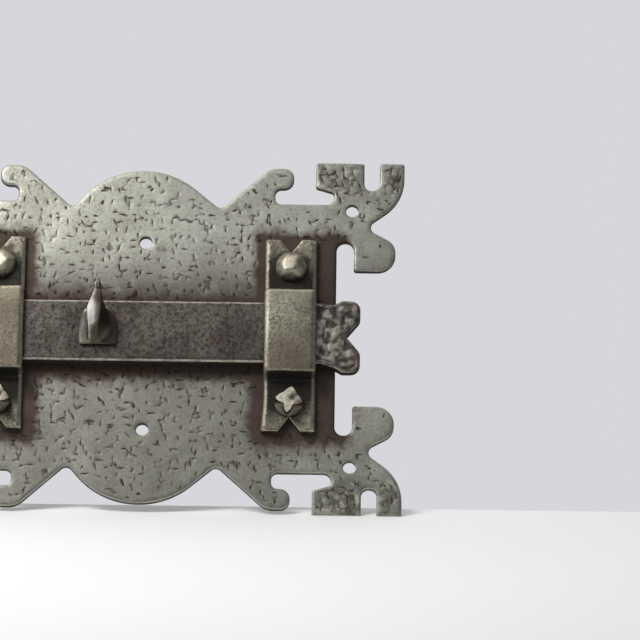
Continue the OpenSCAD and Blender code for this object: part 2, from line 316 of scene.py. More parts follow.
class Surface:
    """Vertices, faces and painted values of one piece, before it becomes a mesh. pit is a dark hollow;
    edge is worn bright, and on the knob, the strap crowns and the star heads also a painted highlight;
    the staining value is brown or black stains and also painted shade and shadow; the tarnish value is
    a duller skin and also painted shade."""

    PAINTS = ("pit", "edge", "stain", "dull")

    def __init__(self):
        self.points, self.faces = [], []
        self.painted = {name: [] for name in self.PAINTS}

    def add(self, points, **paint):
        """Adds rows of X, depth and Z, and returns their numbers."""
        first = len(self.points)
        self.points += [(p[0], -p[1], p[2]) for p in points]
        for name in self.PAINTS:
            self.painted[name] += list(np.broadcast_to(paint.get(name, 0.0), len(points)))
        return np.arange(first, len(self.points))

    def band(self, inner, outer):
        """Faces between two rings of equal length, the inner one nearer the viewer."""
        for i in range(len(inner)):
            j = (i + 1) % len(inner)
            self.faces.append((inner[i], outer[i], outer[j], inner[j]))

    def stack(self, rings):
        """Joins rings of equal length, the one nearest the viewer first."""
        for inner, outer in zip(rings, rings[1:]):
            self.band(inner, outer)

    def cap(self, ring, point, **paint):
        """Faces from a ring to a new point in its middle."""
        centre = self.add([point], **paint)[0]
        for i in range(len(ring)):
            self.faces.append((centre, ring[i], ring[(i + 1) % len(ring)]))

    def mesh(self, name, sharp_angle=38):
        mesh = bpy.data.meshes.new(name)
        points = [tuple(c * MM for c in p) for p in self.points]
        mesh.from_pydata(points, [], [tuple(int(i) for i in face) for face in self.faces])
        for label, values in self.painted.items():
            layer = mesh.attributes.new(label, "FLOAT", "POINT")
            layer.data.foreach_set("value", np.array(values, np.float32))
        mesh.validate()
        mesh.polygons.foreach_set("use_smooth", [True] * len(mesh.polygons))
        mesh.set_sharp_from_angle(angle=radians(sharp_angle))
        return mesh


# The rolled front edge, and the plain back edge as insets and heights.
RIM_ANGLES = [radians(a) for a in (62, 38, 18, 0)]
RIM_SHINE = [0.5, 0.8, 0.65, 0.2]
HOLE_SHINE = 0.2
# WALL_PIT darkens the side walls and the back edges of every outline.
WALL_PIT = 0.55
PLAIN_BACK = [(0.0, 0.2), (0.2, 0.0)]
MARK_MARGIN = 0.05


def worked_face(surface, loops, place, relief, paint, marks, spacing):
    """Adds the front face with its marks, and returns the numbers of the outlines' points."""
    marks.keep_inside(loops, MARK_MARGIN)
    mark_points, mark_edges = marks.outlines()
    grid = staggered_points(loops, spacing, len(loops))
    grid = grid[clearance(grid, loops) > spacing * 0.4]
    grid = np.array([p for p in grid if marks.at(p)[0] > 0.3])
    points, triangles, number = filled(loops, np.vstack([mark_points, grid]), mark_edges)
    gaps, grooves = np.array([marks.at(p) for p in points]).T
    heights = relief(points) + grooves
    painted = paint(points)
    in_mark = np.clip(0.4 - gaps / 0.3, 0, 1) * (gaps < 0.1)
    painted["pit"] = np.maximum(painted.get("pit", 0), in_mark)
    front = surface.add([place(u, v, h) for (u, v), h in zip(points, heights)], **painted)
    surface.faces += [tuple(front[t]) for t in triangles]
    return front[number]


def flat_back(surface, loops, rings, place, thickness, grid):
    """Fills the back inside its outlines, which are there already as rings of numbers."""
    points, triangles, number = filled(loops, grid, [])
    back = np.zeros(len(points), int)
    rings = np.concatenate(rings)
    back[number[:len(rings)]] = rings
    inner = number[len(rings):]
    back[inner] = surface.add([place(*points[i], thickness) for i in inner])
    surface.faces += [tuple(back[t][::-1]) for t in triangles]


def forged_sheet(loops, thickness, place, rim, relief, spacing, marks=None, backs={},
                 paint=lambda points: {}, rim_stain=1.0, rim_shine=lambda points: 1.0):
    """Flat stock with rolled front edges, a worked front face and a plain back.
    place turns a plane point and a height below the front face into X, depth and Z. rim gives
    the width and the drop of the rounding at each point of a numbered outline. backs gives the
    back edges that are not plain, as steps of inset and height above the back face.
    rim_stain is the share of the front's staining and painted shade that stays on the rounding, and
    rim_shine gives how brightly it is worn."""
    surface = Surface()
    loops = [resampled(loop, spacing) for loop in loops]
    rims = [rim(i, loop) for i, loop in enumerate(loops)]
    fronts = [inset(loop, width) for loop, (width, _) in zip(loops, rims)]
    front = worked_face(surface, fronts, place, relief, paint, marks or Marks(), spacing)
    start, bottom_loops, bottoms = 0, [], []
    for i, (loop, (width, drop)) in enumerate(zip(loops, rims)):
        rings = [front[start:start + len(loop)]]
        start += len(loop)
        wave, painted = relief(loop), paint(loop)
        stain = painted.get("stain", 0.0)
        for angle, shine in zip(RIM_ANGLES, RIM_SHINE):
            line = inset(loop, width * (1 - cos(angle)))
            height = drop * (1 - sin(angle)) + wave * sin(angle)
            worn = shine * rim_shine(loop) if i == 0 else HOLE_SHINE
            painted.update(edge=worn, pit=WALL_PIT if angle == 0 else 0, stain=rim_stain * stain)
            rings.append(surface.add([place(*p, h) for p, h in zip(line, height)], **painted))
        for step, rise in backs.get(i, PLAIN_BACK):
            line = inset(loop, step)
            rings.append(surface.add([place(*p, thickness - rise) for p in line], pit=WALL_PIT))
        surface.stack(rings)
        bottom_loops.append(line)
        bottoms.append(rings[-1])
    coarse = staggered_points(fronts, spacing * 2.5, 7)
    coarse = coarse[clearance(coarse, bottom_loops) > spacing]
    flat_back(surface, bottom_loops, bottoms, place, thickness, coarse)
    return surface


def linked(name, data):
    """A new object in the scene."""
    obj = bpy.data.objects.new(name, data)
    bpy.context.scene.collection.objects.link(obj)
    return obj


def piece(mesh, material, body, slot, *nodes):
    """Makes a mesh a finished piece: its material, its body and the CAD nodes it replaces."""
    obj = linked(mesh.name, mesh)
    mesh.materials.append(material)
    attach(obj, body)
    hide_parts(*nodes)


# ------------ backplate

# Where the gouged heads begin, and how far outside a strap the plate is stained and painted with
# shade.
HEAD_X, HEAD_Z = 52, 47
RUST_SPOT = np.array([78, 52])
STAINING_AND_SHADE_BEYOND_STRAP = 6.5


def plate_marks():
    """Chisel marks spread over the plate, with crossed gouges all over the four sawn heads."""
    rng = random.Random(4)
    marks = Marks()
    pitch = 3.2
    half_w, half_h = PLATE_HIGH.x, PLATE_HIGH.z
    for x in np.arange(-half_w, half_w, pitch):
        for z in np.arange(-half_h, half_h, pitch):
            centre = np.array([x, z]) + [rng.uniform(0, pitch), rng.uniform(0, pitch)]
            on_jaw = abs(centre[0]) > 62 and abs(centre[1]) < 36
            by_strap = 34 < abs(centre[0]) < 61 and abs(centre[1]) < 31
            if not by_strap and (not on_jaw or rng.random() < 0.3):
                random_cut(marks, rng, centre)
    head_pitch = 2.1
    for x in np.arange(HEAD_X, half_w, head_pitch):
        for z in np.arange(HEAD_Z, half_h, head_pitch):
            for sides in ((-1, -1), (-1, 1), (1, -1), (1, 1)):
                shift = [rng.uniform(0, head_pitch), rng.uniform(0, head_pitch)]
                cut(marks, rng, (np.array([x, z]) + shift) * sides,
                    rng.gauss(pi / 2, 0.7), rng.uniform(1.3, 3.2),
                    rng.uniform(0.35, 0.7), rng.gauss(0, 0.25), 0.3)
    return marks


def on_heads(points):
    """How far points are on the four gouged heads, from 0 to 1."""
    across, up = abs(points[:, 0]), abs(points[:, 1])
    return smooth_step(HEAD_Z - 4, HEAD_Z + 1, up) * smooth_step(HEAD_X - 4, HEAD_X + 2, across)


def plate_relief(points):
    """Hammered unevenness of the plate's front: heights below its nominal face."""
    smooth = 0.07 + 0.09 * waves(points, 13, 2.5) + 0.03 * waves(points, 4.5, 8.1)
    return smooth + on_heads(points) * (0.04 + 0.12 * waves(points, 2.4, 4.4))


def plate_rim(index, loop):
    """A filed, slightly uneven rounding round the outline, and a small one in the holes."""
    if index == 0:
        width = 0.55 + 0.12 * waves(loop, 6, 3.3)
        return width, width * 1.2
    return 0.22, 0.25


def gap_to_fittings(points):
    """How far points of the plate are from the bar and the straps, with the narrow part of the
    plate outside each strap counted as under it. Both sides of the plate are alike."""
    across, up = abs(points[:, 0]), points[:, 1]
    gap = np.maximum(abs(up) - BAR_HIGH.z, 0)
    for strap in ("left_strap", "right_strap"):
        low, high = box_mm(strap)
        inner, outer = sorted((abs(low.x), abs(high.x)))
        dx = np.maximum(np.maximum(inner - across, across - outer - STAINING_AND_SHADE_BEYOND_STRAP), 0)
        dz = np.maximum(np.maximum(low.z - up, up - high.z), 0)
        gap = np.minimum(gap, np.hypot(dx, dz))
    return gap


def plate_paint(points):
    """Brown staining against the straps and the bar, partly painted shade at their edges, with a
    painted shadow below the bar, and in one spot on a head; a duller skin above the bar and on the
    heads; and painted shade that makes the lower half darker."""
    across, up = abs(points[:, 0]), points[:, 1]
    gap = gap_to_fittings(points)
    beside_bar = 0.7 + 0.3 * smooth_step(30, 38, across)
    # Below the bar the staining is painted darker and reaches further down: the bar's painted shadow.
    beside_bar += 0.2 * (up < 0) * (across < 38)
    reach = 3.4 + 1.5 * waves(points, 8, 4.4) + 1.3 * (up < 0)
    stain = 1.1 * beside_bar * np.exp(-((gap / np.maximum(reach, 1.5)) ** 1.3))
    stain += 0.6 * np.exp(-((np.hypot(*(points - RUST_SPOT).T) / 2.6) ** 2))
    over_bar = 0.95 * np.exp(-((np.maximum(up - BAR_HIGH.z, 0) / 11) ** 2)) * (up > 0)
    # Painted shade: the plate gets darker towards the bottom, less so towards the sides.
    below = 0.46 * smooth_step(-2, -24, up) * (1 - 0.8 * smooth_step(40, 58, across))
    head = on_heads(points)
    streaks = waves(points * [1, 0.45], 1.0, 6.3)
    return {
        "stain": stain,
        "dull": np.clip(np.maximum(over_bar, below) + 0.3 * head, 0, 1),
        "pit": 0.38 * head * smooth_step(0.05, 0.4, streaks),
        "edge": 0.9 * head * smooth_step(0.0, 0.4, -streaks),
    }


def build_backplate(material):
    """The plate. Its rivet holes are countersunk at the back."""
    loops = outline_loops("backplate", PLATE_T)
    screw_size = min(abs(area(loop)) for loop in loops)
    backs = {
        i: [(0.0, 1.3), (1.3, 0.0)]
        for i, loop in enumerate(loops)
        if i and abs(area(loop)) > 1.2 * screw_size
    }

    def place(u, v, h):
        return u, PLATE_T - h, v

    surface = forged_sheet(
        loops, PLATE_T, place, plate_rim, plate_relief, 1.15, plate_marks(), backs, plate_paint
    )
    mesh = surface.mesh("backplate_forged", 50)
    piece(mesh, material, "plate_assembly", "plate_iron", "backplate")


# ------------ slide bar

# Depth of the tail's front, and where along X the bar slopes down to it and turns rough.
TAIL_FRONT = 6.1
TAIL_SLOPE = (51.5, 64)
TAIL_SKIN = (52.6, 54.0)


def bar_front(x):
    """Depth of the bar's front face: full thickness, then drawn down to the fishtail."""
    return BAR_FRONT + (TAIL_FRONT - BAR_FRONT) * smooth_step(*TAIL_SLOPE, x)


def tail_hollows(points):
    """Crooked folds and pits of the burnt tail, from 0 to 1."""
    folds = np.clip(1 - abs(waves(points, 3.1, 9.4) + 0.12) / 0.24, 0, 1)
    folds *= smooth_step(-0.2, 0.4, waves(points, 4, 2.9) + 0.5 * waves(points, 1.1, 8.8))
    pits = smooth_step(0.1, 0.5, waves(points, 1.1, 4.2))
    return np.clip(0.85 * folds + 0.4 * pits, 0, 1)


def rolled_edge(points, on_tail):
    """The tail's rolled outer edge and the crease inside it, each from 0 to 1."""
    gap = clearance(points, outline_loops("slide_bar", BAR_BACK)[:1])
    gap = gap + 0.25 * waves(points, 1.6, 7.1)
    return on_tail * smooth_step(1.25, 0.85, gap), on_tail * np.exp(-(((gap - 1.5) / 0.32) ** 2))


def bar_relief(points):
    """Fine scale pitting on the bar and deep forging hollows on the tail."""
    on_tail = smooth_step(*TAIL_SKIN, points[:, 0])
    rolled, crease = rolled_edge(points, on_tail)
    grain = 0.035 * waves(points, 1.3, 5.5) + 0.05 * waves(points, 7, 1.2)
    lumps = 0.16 + 0.14 * waves(points, 2.2, 6.6) + 0.4 * tail_hollows(points) * (1 - rolled)
    lumps += 0.25 * crease
    return 0.06 + grain * (1 - on_tail) + lumps * on_tail


def bar_paint(points):
    """Dark hollows and worn lumps on the tail only."""
    on_tail = smooth_step(*TAIL_SKIN, points[:, 0])
    rolled, crease = rolled_edge(points, on_tail)
    hollows = np.maximum(tail_hollows(points) * (1 - rolled), 0.8 * crease)
    light = (1 - hollows) * smooth_step(-0.4, 0.3, waves(points, 2.3, 3.8))
    return {
        "pit": 0.4 * on_tail * hollows,
        "edge": on_tail * np.maximum(0.2 + 0.75 * light, 0.9 * rolled),
    }


def bar_rim(index, loop):
    """A narrow rounding along the bar, a wider one round the tail and a small one in the hole."""
    if index:
        return 0.2, 0.2
    on_tail = smooth_step(56, 60, loop[:, 0])
    width = 0.85 + 0.08 * waves(loop, 3, 6.1) + 0.55 * on_tail
    return width, width * (1 - 0.1 * on_tail)


def bar_shine(points):
    """The bar's long edges are worn brighter than the tail's."""
    return 1.8 - 1.1 * smooth_step(*TAIL_SKIN, points[:, 0]) + 0.4 * waves(points, 2.5, 5.9)


def build_slide_bar(material):
    """The bar, with its heights scaled to the tail's smaller thickness."""
    thickness = BAR_FRONT - BAR_BACK

    def place(u, v, h):
        front = float(bar_front(u))
        return u, front - h * (front - BAR_BACK) / thickness, v

    loops = outline_loops("slide_bar", BAR_BACK)
    surface = forged_sheet(
        loops, thickness, place, bar_rim, bar_relief, 0.45, paint=bar_paint, rim_shine=bar_shine
    )
    mesh = surface.mesh("slide_bar_forged")
    piece(mesh, material, "bolt", "bar_iron", "slide_bar")


# ------------ straps

def bend_path(corners, radii):
    """A side view in Z and depth: straight runs joined by arcs of equally many points."""
    arc_steps = 7
    stops = [np.array(corners[0])]
    for before, corner, after, radius in zip(corners, corners[1:], corners[2:], radii):
        before, corner, after = (np.array(p, float) for p in (before, corner, after))
        back, on = unit(before - corner), unit(after - corner)
        half = acos(np.clip(back @ on, -1, 1)) / 2
        centre = corner + unit(back + on) * radius / sin(half)
        spokes = [corner + v * radius / tan(half) - centre for v in (back, on)]
        turn = pi - 2 * half
        for i in range(arc_steps + 1):
            t = i / arc_steps
            mixed = (sin((1 - t) * turn) * spokes[0] + sin(t * turn) * spokes[1])
            stops.append(centre + mixed / sin(turn))
    stops.append(np.array(corners[-1]))
    return np.array(stops)


class BentStrip:
    """A flat strip bent over the bar as a hat. v runs along the strip's front face."""

    def __init__(self, node):
        inner = STRAP_FRONT - STRAP_T
        self.crown = crown = outline_loops(node, STRAP_FRONT)[0][:, 1].max()
        loops = outline_loops(node, FOOT_FRONT)
        self.feet, self.holes = loops[:2], loops[2:]
        self.base = min(abs(loops[0][:, 1]))
        end = abs(loops[0][:, 1]).max()
        under = outline_loops(node, inner)[0][:, 1].max()
        heel = min(abs(outline_loops(node, PLATE_T)[0][:, 1]))
        front = [(end, FOOT_FRONT), (self.base, FOOT_FRONT), (crown, STRAP_FRONT)]
        back = [(end, PLATE_T), (heel, PLATE_T), (under, inner)]
        front_bends, back_bends = [0.9, 0.8, 0.8, 0.9], [0.8, 0.3, 0.3, 0.8]
        self.front = bend_path(front + [(-z, d) for z, d in front[::-1]], front_bends)
        self.back = bend_path(back + [(-z, d) for z, d in back[::-1]], back_bends)
        steps = np.linalg.norm(np.diff(self.front, axis=0), axis=1)
        along = np.concatenate([[0], np.cumsum(steps)])
        self.along = along - along[-1] / 2
        self.front, self.back = self.front[::-1], self.back[::-1]
        self.stretch = along[-1] / 2 - end

    def unrolled(self, loop):
        """A foot's outline moved to where it lies on the flat strip."""
        return loop + np.array([0, self.stretch * copysign(1, loop[:, 1].mean())])

    def outline(self):
        """The flat strip's outlines: both feet joined into one, then the rivet holes."""
        ends = []
        for foot in sorted(self.feet, key=lambda loop: -loop[:, 1].mean()):
            free = [abs(z) > self.base + 0.05 for z in foot[:, 1]]
            first = next(i for i in range(len(foot)) if free[i] and not free[i - 1])
            turned = np.roll(foot, -first, axis=0)
            ends.append(self.unrolled(turned[:sum(free)]))
        return [np.vstack(ends), *(self.unrolled(loop) for loop in self.holes)]

    def place(self, u, v, h):
        top = [np.interp(v, self.along, self.front[:, i]) for i in (0, 1)]
        bottom = [np.interp(v, self.along, self.back[:, i]) for i in (0, 1)]
        t = h / STRAP_T
        z, depth = (a + (b - a) * t for a, b in zip(top, bottom))
        return u, depth, z


def strap_relief(points):
    """Scale pits and slow waves on a strap's front face."""
    return 0.05 + 0.03 * waves(points, 1.2, 3.1) + 0.07 * waves(points, 6, 7.7)


def strap_rim(index, loop):
    """Nearly half-round long edges, and tighter filed ones round the notches."""
    if index:
        return 0.2, 0.2
    middle = (loop[:, 0].max() + loop[:, 0].min()) / 2
    long_edge = smooth_step(6.4, 7.6, abs(loop[:, 0] - middle))
    width = 0.45 + 1.05 * long_edge + 0.12 * waves(loop, 5, 2.2)
    return width, 0.45 + 0.75 * long_edge


def strap_paint(strip, points, tarnish):
    """Black scale and painted shade on the risers and round the rivets, fading to the ends of the
    feet; the crown is duller towards its lower edge, lighter towards its upper edge, and has a painted
    highlight along both its edges. tarnish is how tarnished it is at its upper edge."""
    z = np.interp(points[:, 1], strip.along, strip.front[:, 0])
    # Off the crown the strap gets black scale and painted shade, strongest on the risers and inner
    # feet.
    riser = smooth_step(strip.crown - 0.1, strip.crown + 0.3, abs(z))
    middle = (points[:, 0].max() + points[:, 0].min()) / 2
    centred = smooth_step(8, 3.5, abs(points[:, 0] - middle))
    foot = (0.7 + 0.35 * centred) * smooth_step(34.5, 17, abs(z) + 3.5 * waves(points, 5, 1.9))
    on_crown = 1 - riser
    # A painted highlight along the crown's bends at both its edges.
    crown_bend_highlight = np.exp(-(((abs(z) - strip.crown + 0.4) / 0.35) ** 2))
    return {
        "stain": riser * foot,
        "dull": on_crown * np.maximum(tarnish, 0.85 * smooth_step(8, -12, z)),
        "edge": on_crown * np.maximum(0.5 * smooth_step(2, 12.5, z), 0.85 * crown_bend_highlight),
    }


def build_strap(node, material, tarnish):
    """One strap, worked flat and bent over the bar."""
    strip = BentStrip(node)
    surface = forged_sheet(
        strip.outline(), STRAP_T, strip.place, strap_rim, strap_relief, 0.6,
        paint=lambda points: strap_paint(strip, points, tarnish), rim_stain=0.25
    )
    mesh = surface.mesh(f"{node}_forged")
    piece(mesh, material, "plate_assembly", "strap_iron", node)


# ------------ rivets

def turned_rings(surface, centre, rings, count):
    """Stacks circles of radius and depth about a centre, front first."""
    angles = [2 * pi * i / count for i in range(count)]
    numbers = [
        surface.add([(centre[0] + r * cos(a), depth, centre[1] + r * sin(a)) for a in angles])
        for r, depth in rings
    ]
    surface.stack(numbers)
    return numbers


def facet_reach(direction, facets):
    """Distance from the middle of a hammered head to its softly edged facets."""
    softness = 0.3
    reaches = [distance / max(0.08, direction @ normal) for normal, distance in facets]
    nearest = min(reaches)
    return nearest - softness * log(sum(exp((nearest - r) / softness) for r in reaches))


def dome_facets(rng, radius):
    """Normals and distances of the hammer blows on a round head: across, up and outwards."""
    facets = [(unit(np.array([-0.1, 0.12, 0.94])), 0.93 * radius)]
    for low, count, distance in ((0.75, 6, 0.965), (0.1, 9, 1.0)):
        start = rng.uniform(0, 1)
        for i in range(count):
            angle = 2 * pi * (i + start + rng.uniform(-0.18, 0.18)) / count
            normal = unit(np.array([cos(angle), sin(angle), low + rng.uniform(-0.1, 0.1)]))
            facets.append((normal, distance * radius * rng.uniform(0.97, 1.01)))
    return facets


def domed_head(surface, centre, radius, height, seed):
    """A rivet head closed with a hammer: a low dome of flat blows."""
    facets = dome_facets(random.Random(seed), radius)
    count, levels = 56, 18
    rings = []
    for level in range(1, levels + 1):
        tilt = pi / 2 * level / levels
        ring = []
        for i in range(count):
            angle = 2 * pi * i / count
            direction = np.array([cos(angle) * sin(tilt), sin(angle) * sin(tilt), cos(tilt)])
            x, z, out = direction * facet_reach(direction, facets)
            ring.append((centre[0] + x, FOOT_FRONT + out * height / radius, centre[1] + z))
        rings.append(surface.add(ring, edge=0.55))
    top = facet_reach(np.array([0, 0, 1.0]), facets) * height / radius
    surface.cap(rings[0], (centre[0], FOOT_FRONT + top, centre[1]), edge=0.5)
    surface.stack(rings)
    return rings[-1]


def star_head(surface, centre, radius, height, turn):
    """A rivet head struck from four sides, which leaves a flat four-pointed star leaning to the upper
    left. Its upper hollows go down to the strap and its lower ones slope out to the head's round edge.
    A dark dint lies beside its middle. The star's top is worn bright with a painted highlight that
    fades to the right, the slopes outside it are duller, and its right point is darker with painted
    shade."""
    arms, count, flat = 4, 96, 0.93
    dint = radius * np.array([0.28, 0.14])
    angles = np.arange(count) * 2 * pi / count
    around = np.column_stack([np.cos(angles), np.sin(angles)])
    ridge = abs((arms * (angles - turn) / pi) % 2 - 1) ** 1.4
    low = smooth_step(0.25, -0.35, around[:, 1])
    notch = 0.7 - 0.24 * low
    top = radius * (notch + (1 - notch) * ridge) * 0.94
    foot = radius * (0.74 + 0.26 * np.maximum(ridge, low))
    rows = [(top * share, flat, 0.7, 0.1) for share in (0.12, 0.24, 0.36, 0.5, 0.8, 1.0)]
    for share in (0.06, 0.3, 0.55, 0.8, 1.0):
        level = 0.3 + 0.5 * (1 - share) ** 1.8
        rows.append((top + (foot - top) * share, level, 0.2, 0.8))
    rows.append((foot, 0.0, 0.0, 0.8))
    rings = []
    for reach, level, edge, dull in rows:
        place = around * reach[:, None]
        hollow = np.exp(-((np.hypot(*(place - dint).T) / (0.2 * radius)) ** 2))
        # right darkens the right point with painted shade and dims the painted highlight there.
        right = smooth_step(0.2, 0.6, place[:, 0] / radius)
        leaning = level * (1 + 0.07 * place @ [1, -0.6] / radius)
        depth = FOOT_FRONT + height * (leaning - 0.1 * hollow)
        ring = [(centre[0] + x, d, centre[1] + z) for (x, z), d in zip(place, depth)]
        # bright is the worn top with its painted highlight, fading to the right.
        bright = edge * (1 - hollow) * (1 - 0.8 * right)
        skin = np.maximum(dull, 0.7 * right)
        rings.append(surface.add(ring, edge=bright, pit=0.6 * hollow, dull=skin, stain=0.3 * right))
    surface.cap(rings[0], (centre[0], FOOT_FRONT + height * flat, centre[1]), edge=1)
    surface.stack(rings)
    return rings[-1]


def build_rivet(node, material, seed):
    """One rivet: its head on the strap, the shank and the countersunk tail in the plate."""
    low, high = box_mm(node)
    centre = ((low.x + high.x) / 2, (low.z + high.z) / 2)
    radius, height = (high.x - low.x) / 2, -low.y - FOOT_FRONT
    surface = Surface()
    if centre[1] > 0:
        under = domed_head(surface, centre, radius, height, seed)
    else:
        under = star_head(surface, centre, radius, height, radians(80))
    shank, sink, sink_depth = 2.5, 3.8, 1.3
    rings = [(shank, FOOT_FRONT), (shank, sink_depth), (sink, 0.0), (sink * 0.5, 0.0)]
    tail = turned_rings(surface, centre, rings, len(under))
    surface.band(under, tail[0])
    surface.cap(tail[-1][::-1], (centre[0], 0, centre[1]))
    mesh = surface.mesh(f"{node}_forged", 30)
    piece(mesh, material, "plate_assembly", "rivet_iron", node)


# ------------ thumb knob

# Sections of the knob, from its foot on the bar to its tip. Each is: height above the bar; low
# and high edge in Z; half width of the ridge that faces down; reach of the left and the right
# flank; half width of the top; the ridge's shift along X; how far its middle stands out.
KNOB_SECTIONS = [
    (0.0, -5.0, 6.5, 5.7, 6.0, 6.0, 4.3, 0.0, 0.0),
    (1.1, -5.0, 6.5, 5.6, 6.0, 6.0, 4.2, 0.0, 0.0),
    (1.5, -4.8, 6.4, 1.5, 5.3, 5.3, 3.4, -1.5, 0.0),
    (2.4, -4.0, 6.6, 1.35, 2.9, 3.5, 2.6, -1.5, 0.2),
    (5.0, -2.2, 7.0, 1.35, 2.5, 2.2, 2.2, -1.5, 0.4),
    (8.8, 0.9, 7.8, 1.8, 2.6, 1.5, 1.8, -1.35, 1.0),
    (11.6, 3.3, 8.5, 2.35, 2.7, 1.2, 1.5, -1.15, 1.7),
    (13.6, 4.9, 9.1, 1.7, 1.9, 1.2, 1.4, -0.7, 1.2),
    (15.6, 6.3, 9.7, 1.25, 1.4, 1.35, 1.35, -0.2, 0.5),
    (16.9, 7.1, 10.0, 1.1, 1.2, 1.25, 1.2, 0.1, 0.2),
    (17.5, 7.8, 9.9, 0.9, 0.9, 1.0, 0.9, 0.2, 0.0),
]
KNOB_X = (KNOB_LOW.x + KNOB_HIGH.x) / 2


def knob_paint(height):
    """Paint round one section, from the ridge's left corner: worn bright, with a painted highlight,
    where the thumb pushes; black scale with the fin's painted shadow down the right flank; painted
    shade on the ridge's right half; and a brown skin elsewhere."""
    # thumb and corner are where the ridge's left side is worn and painted with a highlight.
    thumb = smooth_step(5, 9.5, height) * (1 - 0.9 * smooth_step(12.6, 15, height))
    corner = max(float(thumb), 0.75 * float(smooth_step(1.6, 3, height)))
    brown = 0.6 * (1 - float(thumb))
    return {
        # The ridge's right half and the right flank are painted darker as shade and as the fin's
        # shadow.
        "edge": [corner, 0.75 * thumb, 0.1, 0, 0, 0.1, 0.1, 0.2, 0.1, 0.1],
        "dull": [0.2, 1.1 - thumb, 1, 0, 0, 0.5, 0.5, 0.7, 0.7, 0.7],
        "stain": [0.4 * brown, 0.1 + brown, 0.5 + brown, 1.2, 1.2, 0.8, 0.5, 0.4, 0.3, 0.3],
    }


def knob_section(height, low, high, ridge, left, right, top, ridge_x, bulge):
    """One ring of the knob's cage, from the ridge's left corner round under it and back."""
    tall = high - low
    taper = 0.95
    ring = [
        (ridge_x - ridge, low), (ridge_x, low - bulge), (ridge_x + ridge, low),
        (right, low + 0.3 * tall), (right * taper, low + 0.72 * tall),
        (top, high), (0, high + 0.05), (-top, high),
        (-left * taper, low + 0.72 * tall), (-left, low + 0.3 * tall),
    ]
    return [(KNOB_X + x, BAR_FRONT + height, z) for x, z in ring]


def subdivided(mesh, creases, levels):
    """The mesh after Catmull-Clark subdivision, with some edges kept crisp."""
    layer = mesh.attributes.new("crease_edge", "FLOAT", "EDGE")
    for edge in mesh.edges:
        layer.data[edge.index].value = creases.get(tuple(sorted(edge.vertices)), 0.0)
    cage = linked("cage", mesh)
    smoother = cage.modifiers.new("smooth", "SUBSURF")
    smoother.levels = smoother.render_levels = levels
    bpy.context.view_layer.update()
    result = bpy.data.meshes.new_from_object(cage.evaluated_get(bpy.context.evaluated_depsgraph_get()))
    bpy.data.objects.remove(cage)
    return result


def add_tenon(surface):
    """Adds the round tenon that goes through the bar, and returns its end rings, front first."""
    loop = outline_loops("thumb_knob", BAR_BACK)[0]
    x, z = loop.mean(axis=0)
    rings = [surface.add([(u, depth, v) for u, v in loop]) for depth in (BAR_FRONT, BAR_BACK)]
    surface.band(*rings)
    surface.cap(rings[0], (x, BAR_FRONT, z))
    surface.cap(rings[1][::-1], (x, BAR_BACK, z))
    return rings


def build_thumb_knob(material):
    """The knob, with the tenon that is riveted through the bar."""
    surface = Surface()
    rings = [
        surface.add(knob_section(*section), **knob_paint(section[0]))
        for section in KNOB_SECTIONS
    ]
    for outer, inner in zip(rings, rings[1:]):
        surface.band(inner, outer)
    height, low, high = KNOB_SECTIONS[-1][:3]
    surface.cap(rings[-1], (KNOB_X, BAR_FRONT + height, (low + high) / 2))
    surface.cap(rings[0][::-1], (KNOB_X, BAR_FRONT, 1))
    ends = add_tenon(surface)
    creases = {}

    def crease(a, b, value):
        creases[tuple(sorted((int(a), int(b))))] = value

    for lower, upper in zip(rings[1:], rings[2:]):
        for corner in (0, 2):
            crease(lower[corner], upper[corner], 0.8)
        crease(lower[1], upper[1], 0.9)
    for ring, value in ((rings[0], 1.0), (rings[1], 0.8), (ends[0], 1.0), (ends[1], 1.0)):
        for i in range(len(ring)):
            crease(ring[i], ring[(i + 1) % len(ring)], value)
    for corner in (0, 2, 5, 7):
        crease(rings[0][corner], rings[1][corner], 0.8)
    mesh = subdivided(surface.mesh("knob_cage"), creases, 3)
    mesh.name = "thumb_knob_forged"
    mesh.set_sharp_from_angle(angle=radians(40))
    piece(mesh, material, "bolt", "knob_iron", "thumb_knob")


# ------------ materials

def srgb(red, green, blue):
    """A colour given as 0 to 255 screen values, as the shaders want it."""
    channels = [c / 255 for c in (red, green, blue)]
    linear = [c / 12.92 if c <= 0.04045 else ((c + 0.055) / 1.055) ** 2.4 for c in channels]
    return (*linear, 1)


